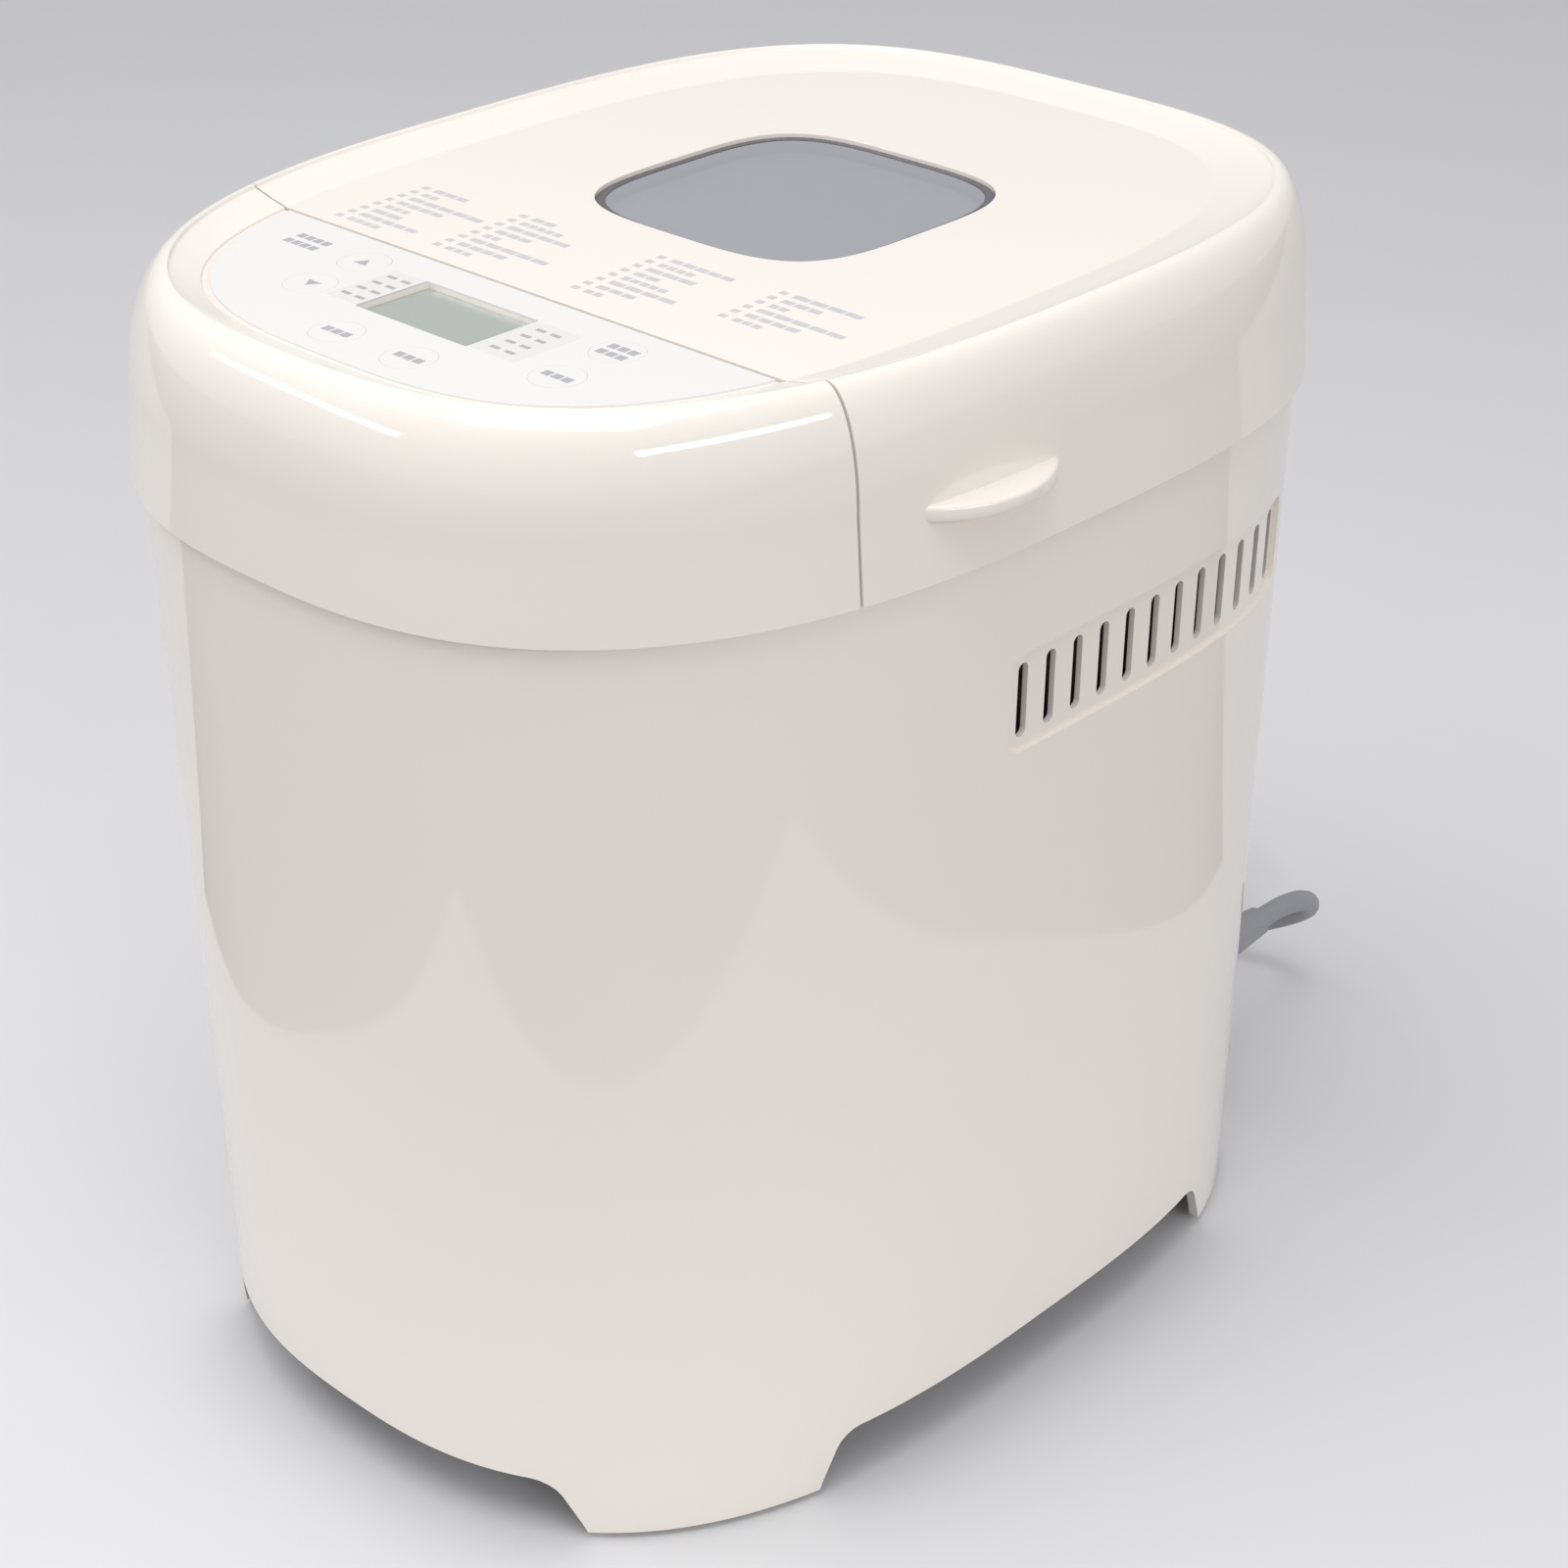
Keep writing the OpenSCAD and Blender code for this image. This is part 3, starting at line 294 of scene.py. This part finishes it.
cut(body_skin, piece_of(arch(0.062, "Y"), "tool"))
cut(body_skin, piece_of(arch(0.073, "X", 0.006), "tool"))
vent_middle, vent_high = 0.040, 0.211
vent_half_long, vent_half_tall, vent_deep = 0.061, 0.013, 0.0012
slot_count, slot_pitch, slot_round, slot_stretch = 12, 0.0101, 0.0018, 0.0080
recess = prism([(-vent_half_long, -vent_half_tall), (vent_half_long, -vent_half_tall),
                (vent_half_long, vent_half_tall), (-vent_half_long, vent_half_tall)],
               -reach, reach, corner=0.004)
for axis, degrees in (("X", 90), ("Z", 90)):
    bmesh.ops.rotate(recess, cent=(0, 0, 0), matrix=Matrix.Rotation(math.radians(degrees), 3, axis),
                     verts=recess.verts)
bmesh.ops.translate(recess, vec=(0, vent_middle, vent_high), verts=recess.verts)
recess_tool = piece_of(recess, "tool_recess")
cut(recess_tool, piece_of(oval_skin([body_level(z, vent_deep) for z in (0.15, 0.2, 0.27)]), "tool"))
cut(body_skin, recess_tool)
slots = bmesh.new()
for i in range(slot_count):
    bar = bmesh.ops.create_cone(slots, cap_ends=True, segments=24, radius1=slot_round, radius2=slot_round,
                                depth=2 * reach)
    place = vent_middle + (i - (slot_count - 1) / 2) * slot_pitch
    for v in bar["verts"]:
        v.co.y += slot_stretch if v.co.y > 0 else -slot_stretch
        v.co = Vector((v.co.z, v.co.x + place, v.co.y + vent_high))
bmesh.ops.recalc_face_normals(slots, faces=slots.faces)
cut(body_skin, piece_of(slots, "tool"))
wear(body_skin, cream)
soften(body_skin, edge_round)
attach(body_skin, "body")
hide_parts("body_shell")

# ---- Control housing and lid shell ----
# The head of the casing is moulded in two pieces of the same cream plastic, parted across
# the machine behind the keys. A soft shoulder rises to a thin rim round a dished top.
head_half, head_front, head_rear, head_low, head_high = 0.114, 0.1507, 0.145, 0.253, 0.303
flat_high = 0.2996
part_line = 0.0695
parting = 0.0004
side_lean, shoulder, shoulder_from = 0.0012, 0.0088, 0.42
# The band inside the rim: how far across it, and how far below the rim, each ring lies.
band_rings = ((0.035, 0.00003), (0.05, 0.0002), (0.062, 0.0006), (0.075, 0.00085), (0.10, 0.00097),
              (0.5, 0.00215), (0.93, 0.0032), (1.0, 0.0034), (1.04, 0.0034))


def head_levels(inset=0.0, low=head_low):
    """Levels from the lower edge over the shoulder and rim to the dished middle."""
    made = []
    rest = 1 - shoulder_from
    steps = [0, 0.1, 0.22, 0.34, shoulder_from]
    steps += [shoulder_from + rest * math.sin(math.radians(a)) for a in range(6, 91, 6)]
    for t in steps:
        d = side_lean * min(1, t / shoulder_from)
        if t > shoulder_from:
            d += shoulder * (1 - math.sqrt(max(0, 1 - ((t - shoulder_from) / rest) ** 2)))
        made.append((head_half - d - inset, head_front - d * 1.3 - inset, head_rear - d * 0.7 - inset,
                     head_low + t * (head_high - head_low) - t * inset))
    for u, drop in band_rings:
        made.append((head_half - 0.010 - 0.014 * u - inset, head_front - 0.013 - 0.0085 * u - inset,
                     head_rear - 0.007 - 0.012 * u - inset, head_high - drop - inset,
                     2.62 + 0.38 * u, 3.25 - 0.09 * u))
    if low < head_low:
        made.insert(0, (*made[0][:3], low))
    return made


def head_part(name, keep_front, where, inset=0.0, low=head_low):
    """The head's solid on one side of the parting line."""
    bm = oval_skin(head_levels(inset, low))
    bmesh.ops.bisect_plane(bm, geom=bm.verts[:] + bm.edges[:] + bm.faces[:], dist=1e-7,
                           plane_co=(0, where, 0), plane_no=(0, 1, 0), clear_outer=keep_front,
                           clear_inner=not keep_front)
    bmesh.ops.holes_fill(bm, edges=[e for e in bm.edges if e.is_boundary])
    bmesh.ops.recalc_face_normals(bm, faces=bm.faces)
    return piece_of(bm, name)


housing_skin = head_part("housing_skin", True, -part_line - parting)
hollow_low = 0.24
cut(housing_skin, head_part("tool", True, -part_line - parting - wall, wall, hollow_low))
lid_skin = head_part("lid_skin", False, -part_line + parting)
cut(lid_skin, head_part("tool", False, -part_line + parting + wall, wall, hollow_low))

bake_middle = 0.024
window_square = 3.8
over = 0.32  # tools from above start at this height


def squircle(width, points=96):
    """The window's outline: square, with full corners and bowed sides."""
    made = []
    for i in range(points):
        t = 2 * math.pi * i / points
        x, y = oval_point(t, width / 2, width / 2, width / 2, window_square, window_square)
        made.append((x, bake_middle + y))
    return made


cut(lid_skin, piece_of(prism(squircle(0.085), 0.28, over), "tool"))


def panel_shape(inset, low, high):
    """The flat of the key panel: the inner oval, up to the parting line."""
    bm = oval_skin([(head_half - 0.024 - inset, head_front - 0.0215 - inset, 0.12, z, 3.0, 3.16)
                    for z in (low, high)])
    bmesh.ops.bisect_plane(bm, geom=bm.verts[:] + bm.edges[:] + bm.faces[:], dist=1e-7,
                           plane_co=(0, -part_line - parting - (0.0003 if inset else -0.001), 0),
                           plane_no=(0, 1, 0), clear_outer=True)
    bmesh.ops.holes_fill(bm, edges=[e for e in bm.edges if e.is_boundary])
    bmesh.ops.recalc_face_normals(bm, faces=bm.faces)
    return bm


film_low, film_high = flat_high - 0.0006, flat_high - 0.0001
cut(housing_skin, piece_of(panel_shape(0.0, film_low, over), "tool"))
display_middle, display_wide, display_long = -0.0915, 0.038, 0.022


def display_tool():
    """The display's opening, with slightly rounded corners."""
    x, low, high = display_wide / 2, display_middle - display_long / 2, display_middle + display_long / 2
    return piece_of(prism([(-x, low), (x, low), (x, high), (-x, high)], 0.29, over, 0.0006, 3), "tool")


cut(housing_skin, display_tool())
for skin, body, node in ((housing_skin, "body", "control_housing"), (lid_skin, "lid", "lid_shell")):
    wear(skin, cream)
    soften(skin, edge_round)
    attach(skin, body)
    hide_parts(node)

# ---- Finger tabs ----
# Half-moon tabs on the lid's sides lift it with two fingers. Each is moulded with the lid,
# in the same cream plastic, and has rounded edges.
tab_round, tab_thick, tab_root = 0.0302, 0.004, 0.1085
tabs = bmesh.new()
for side in (-1, 1):
    disc = bmesh.ops.create_cone(tabs, cap_ends=True, segments=128, radius1=tab_round, radius2=tab_round,
                                 depth=tab_thick)
    for v in disc["verts"]:
        v.co += Vector((side * 0.0904, -0.029, 0.270))
bmesh.ops.bevel(tabs, geom=[e for e in tabs.edges if abs(e.verts[0].co.z - e.verts[1].co.z) < 1e-6],
                offset=0.0011, affect="EDGES", segments=3, profile=0.5, material=-1)
for root in (tab_root, -tab_root):
    bmesh.ops.bisect_plane(tabs, geom=tabs.verts[:] + tabs.edges[:] + tabs.faces[:], dist=1e-7,
                           plane_co=(root, 0, 0), plane_no=(1, 0, 0))
within = [f for f in tabs.faces if abs(f.calc_center_median().x) < tab_root]
bmesh.ops.delete(tabs, geom=within, context="FACES")
bmesh.ops.holes_fill(tabs, edges=[e for e in tabs.edges if e.is_boundary])
bmesh.ops.recalc_face_normals(tabs, faces=tabs.faces)
lid_tabs = wear(piece_of(tabs, "lid_tabs"), cream)
soften(lid_tabs)
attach(lid_tabs, "lid")

# ---- Key panel ----
# A printed pale film lies in a shallow recess of the housing. Six round pads of the same
# film flex to work the switches under them; their signs are plain marks and bars.
film = finish("panel_film", linear(233, 232, 230), 0.34, grain=1400, depth=0.05, spread=0.05, tone=0.006)
print_grey = finish("print_grey", linear(176, 176, 180), 0.4, tone=0.05)
print_pale = finish("print_pale", linear(228, 227, 224), 0.3, tone=0.01)
ink, tile = 0.00003, 0.0001  # how far a print stands proud, and how thick its tiles are
keys = {"key_up": (-0.040, -0.082), "key_down": (-0.038, -0.100), "key_crust": (-0.009, -0.116),
        "key_size": (0.015, -0.1155), "key_start": (0.046, -0.082), "key_cancel": (0.047, -0.101)}
pad_wide = 0.01312
panel_film = piece_of(panel_shape(0.002, film_low, film_high), "panel_film")
cut(panel_film, display_tool())
holes = bmesh.new()
for x, y in keys.values():
    ring = bmesh.ops.create_cone(holes, cap_ends=True, segments=48, radius1=pad_wide / 2, radius2=pad_wide / 2,
                                 depth=0.02)
    bmesh.ops.translate(holes, vec=(x, y, flat_high), verts=ring["verts"])
cut(panel_film, piece_of(holes, "tool"))
soften(wear(panel_film, film))
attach(panel_film, "body")
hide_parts("control_overlay")


def mark(shapes, name, body, material, high):
    """Thin printed tiles in one piece: each is (x, y, width, length), or a list of corners."""
    bm = bmesh.new()
    for shape in shapes:
        if len(shape) == 4:
            x, y, w, l = shape
            shape = [(x + i * w / 2, y + j * l / 2) for i, j in ((-1, -1), (1, -1), (1, 1), (-1, 1))]
        face = bm.faces.new([bm.verts.new((x, y, high - tile)) for x, y in shape])
        out = bmesh.ops.extrude_face_region(bm, geom=[face])["geom"]
        bmesh.ops.translate(bm, vec=(0, 0, tile), verts=[g for g in out if isinstance(g, bmesh.types.BMVert)])
    bmesh.ops.recalc_face_normals(bm, faces=bm.faces)
    piece = wear(piece_of(bm, name), material)
    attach(piece, body)


for name, (x, y) in keys.items():
    wear(nodes[name], film)
    if name in ("key_up", "key_down"):
        point = 0.0016 if name == "key_up" else -0.0016
        mark([[(x + i * 0.0022, y + j * point) for i, j in ((-1, -1), (1, -1), (0, 1))]],
             name + "_arrow", name, print_grey, film_high + ink)
    else:
        rows = 2 if name == "key_start" else 1
        shapes = [(x + (i - 1) * 0.0031, y + (rows - 1) * 0.0019 - r * 0.0038, 0.0025, 0.0024)
                  for i in range(3) for r in range(rows)]
        mark(shapes, name + "_sign", name, print_grey, film_high + ink)
mark([(-0.061 + (i - 1.5) * 0.003, -0.080 - r * 0.0042, 0.0024, 0.0024) for i in range(4) for r in range(2)],
     "menu_sign", "body", print_grey, film_high + ink)
beside_right, beside_left = 0.0265, -0.0245
mark([(beside_right, display_middle, 0.015, 0.021), (beside_left, display_middle, 0.011, 0.021)],
     "display_print", "body", print_pale, film_high + ink)
mark([(x + (c - 0.5) * 0.0048, display_middle + (r - 1.5) * 0.0046, 0.003, 0.0013)
      for x in (beside_right, beside_left) for c in range(2) for r in range(4)],
     "display_signs", "body", print_grey, film_high + 2 * ink)

# ---- Lid printing ----
# Four short numbered lists are printed on the lid behind the panel. They are drawn here
# as rows of plain bars.
row_pitch, number_wide, number_tall, bar_tall = 0.0040, 0.0022, 0.0019, 0.0021
list_rows = []
for left, top, rows, seed in ((-0.072, -0.036, 8, 1), (-0.038, -0.034, 8, 4), (0.008, -0.032, 8, 7),
                              (0.046, -0.030, 6, 2)):
    for r in range(rows):
        y = top - r * row_pitch
        list_rows.append((left + 0.0012, y, number_wide, number_tall))
        x = left + 0.0045
        for k in range(2 + (r * 3 + seed) % 4):
            w = 0.0024 + 0.0012 * ((r * 5 + k * 3 + seed) % 3)
            list_rows.append((x + w / 2, y, w, bar_tall))
            x += w + 0.0006
mark(list_rows, "lid_lists", "lid", finish("print_faint", linear(203, 201, 203), 0.4, tone=0.05),
     flat_high + ink)

# ---- Display ----
# A grey liquid-crystal cell behind a clear lens, set below the film.
display_grey = finish("display_grey", linear(168, 174, 168), 0.12, grain=2500, depth=0.01, tone=0.02)
wear(nodes["lcd_lens"], display_grey)

# ---- Window ----
# Two panes of heat-resistant glass are clamped on a frame in the lid, with a dark printed border.
# Their pale grey, half-clear colour is a painted reflection: it stands in for the light the glass reflects and
# lets through from below.
# Painted reflection: the panes' pale grey colour stands in for light reflected by the glass and seen through
# it.
painted_reflection_pane = finish("pane_glass_painted_reflection", linear(176, 178, 184), 0.06, grain=300, depth=0.01, spread=0.03, tone=0.05)
painted_reflection_pane.node_tree.nodes["Principled BSDF"].inputs["Alpha"].default_value = 0.72
border_dark = finish("window_border", linear(88, 84, 90), 0.25, depth=0.01)
for name in ("window_outer", "window_inner"):
    wear(nodes[name], painted_reflection_pane)
wear(nodes["window_frame"], border_dark)
border = piece_of(prism(squircle(0.0846), 0.2982, 0.2986), "window_border")
cut(border, piece_of(prism(squircle(0.0806), 0.29, 0.31), "tool"))
soften(wear(border, border_dark), 0.0001)
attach(border, "lid")

# ---- Hidden and inner pieces ----
# Pressed steel, cast and turned metal, moulded dark plastic and rubber: each keeps its
# designed shape and gets the finish of its own stuff.
for material, names in (
        (finish("satin_cream", linear(226, 220, 210), 0.45, grain=1500, depth=0.2), ("chamber_deck",)),
        (cream, ("body_hinge", "lid_hinge")),
        (finish("dark_plastic", linear(52, 52, 54), 0.55, grain=1800, depth=0.3),
         ("base_plate", "lcd_module", "tact_switches", "motor_fan", "run_capacitor")),
        (finish("foot_rubber", linear(34, 34, 35), 0.8, grain=1200, depth=0.4), ("rubber_feet", "drive_belt")),
        (finish("seal_silicone", linear(172, 168, 162), 0.6, grain=900, depth=0.2), ("lid_gasket",)),
        (finish("screw_zinc", linear(178, 178, 176), 0.32, grain=2200, depth=0.2, metal=1.0),
         ("base_screws", "deck_screws", "board_screws", "lid_screws", "hinge_pins")),
        (finish("board_green", linear(38, 92, 56), 0.4, grain=800, depth=0.1),
         ("control_board", "power_board")),
        (finish("pressed_steel", linear(188, 188, 190), 0.3, grain=500, depth=0.12, metal=1.0, spread=0.15),
         ("baking_chamber", "heater_clips", "heat_shield", "pan_socket", "drive_plate", "temperature_sensor",
          "lid_liner")),
        (finish("heater_dark", linear(74, 70, 68), 0.5, grain=1600, depth=0.3, metal=0.6),
         ("heating_element",)),
        (finish("fuse_white", linear(228, 226, 220), 0.5, depth=0.1), ("thermal_fuse",)),
        (finish("cast_grey", linear(168, 168, 170), 0.5, grain=700, depth=0.4, metal=0.9),
         ("bearing_housing", "drive_pulley", "drive_coupler", "pan_base")),
        (finish("bush_bronze", linear(196, 156, 96), 0.35, grain=1500, depth=0.15, metal=1.0),
         ("bearing_bush", "pan_bearing")),
        (finish("motor_grey", linear(104, 106, 110), 0.45, grain=900, depth=0.2, metal=0.4), ("motor",)),
        (finish("bright_steel", linear(196, 196, 198), 0.2, grain=1800, depth=0.08, metal=1.0),
         ("motor_rotor", "pan_shaft", "pan_ears", "pan_handle")),
        (finish("pan_coating", linear(66, 64, 64), 0.4, grain=2600, depth=0.35, tone=0.12),
         ("bread_pan", "kneading_blade"))):
    for name in names:
        wear(nodes[name], material)

# ---- Studio ----
# The machine stands on a pale paper sheet that ends in front of it and at both sides, and
# widens behind; greyer paper lies beyond. Its edges show in the glossy casing.
ahead = Vector((math.sin(turn), -math.cos(turn), 0))
across = Vector((math.cos(turn), math.sin(turn), 0))


def paper(name, outline, high, material):
    """A sheet of paper on the floor; its outline is told as the camera sees it: nearer, and to the right."""
    bm = bmesh.new()
    bm.faces.new([bm.verts.new(ahead * a + across * s + Vector((0, 0, high))) for a, s in outline])
    sheet = wear(piece_of(bm, name), material)


sheet_near, sheet_half = 0.33, 0.295
paper("floor_sheet",
      [(sheet_near, -sheet_half), (sheet_near, sheet_half), (-0.12, sheet_half), (-0.30, 0.9), (-6, 6),
       (-6, -6), (-0.30, -0.9), (-0.12, -sheet_half)], 0.0,
      finish("floor_pale", linear(223, 223, 225), 0.6, grain=300, depth=0.02, tone=0.01))
paper("floor_grey", [(4, -5), (4, 5), (-6, 5), (-6, -5)], -0.004,
      finish("floor_grey", linear(158, 156, 154), 0.7, grain=300, depth=0.02, tone=0.04))


def lamp(name, place, aim, wide, power, tall=None):
    """A soft lamp that faces a point; a square one, or a strip when its height is given."""
    data = bpy.data.lights.new(name, "AREA")
    data.energy, data.size = power, wide
    if tall:
        data.shape, data.size_y = "RECTANGLE", tall
    made = bpy.data.objects.new(name, data)
    made.location = place
    made.rotation_euler = (Vector(aim) - Vector(place)).to_track_quat("-Z", "Y").to_euler()
    bpy.context.collection.objects.link(made)


lamp("overhead", (0.15, -0.35, 1.5), (0, -0.05, 0.15), 1.1, 8.4)
lamp("front_left", (-1.0, -1.3, 0.9), (0, 0, 0.15), 1.3, 4.0, tall=0.12)
lamp("front_right", (1.5, -0.3, 0.9), (0, 0, 0.15), 1.3, 5.6, tall=0.12)
lamp("tube_left", (-0.75, -0.30, 1.15), (0, -0.1, 0.3), 0.9, 1.2, tall=0.03)
lamp("tube_right", (-0.35, -0.75, 1.25), (0, -0.1, 0.3), 0.9, 1.2, tall=0.03)
world = bpy.data.worlds.new("studio_air")
world.use_nodes = True
world.node_tree.nodes["Background"].inputs["Color"].default_value = (0.90, 0.90, 0.92, 1)
world.node_tree.nodes["Background"].inputs["Strength"].default_value = 0.62
bpy.context.scene.world = world
bpy.context.scene.view_settings.view_transform = "Standard"
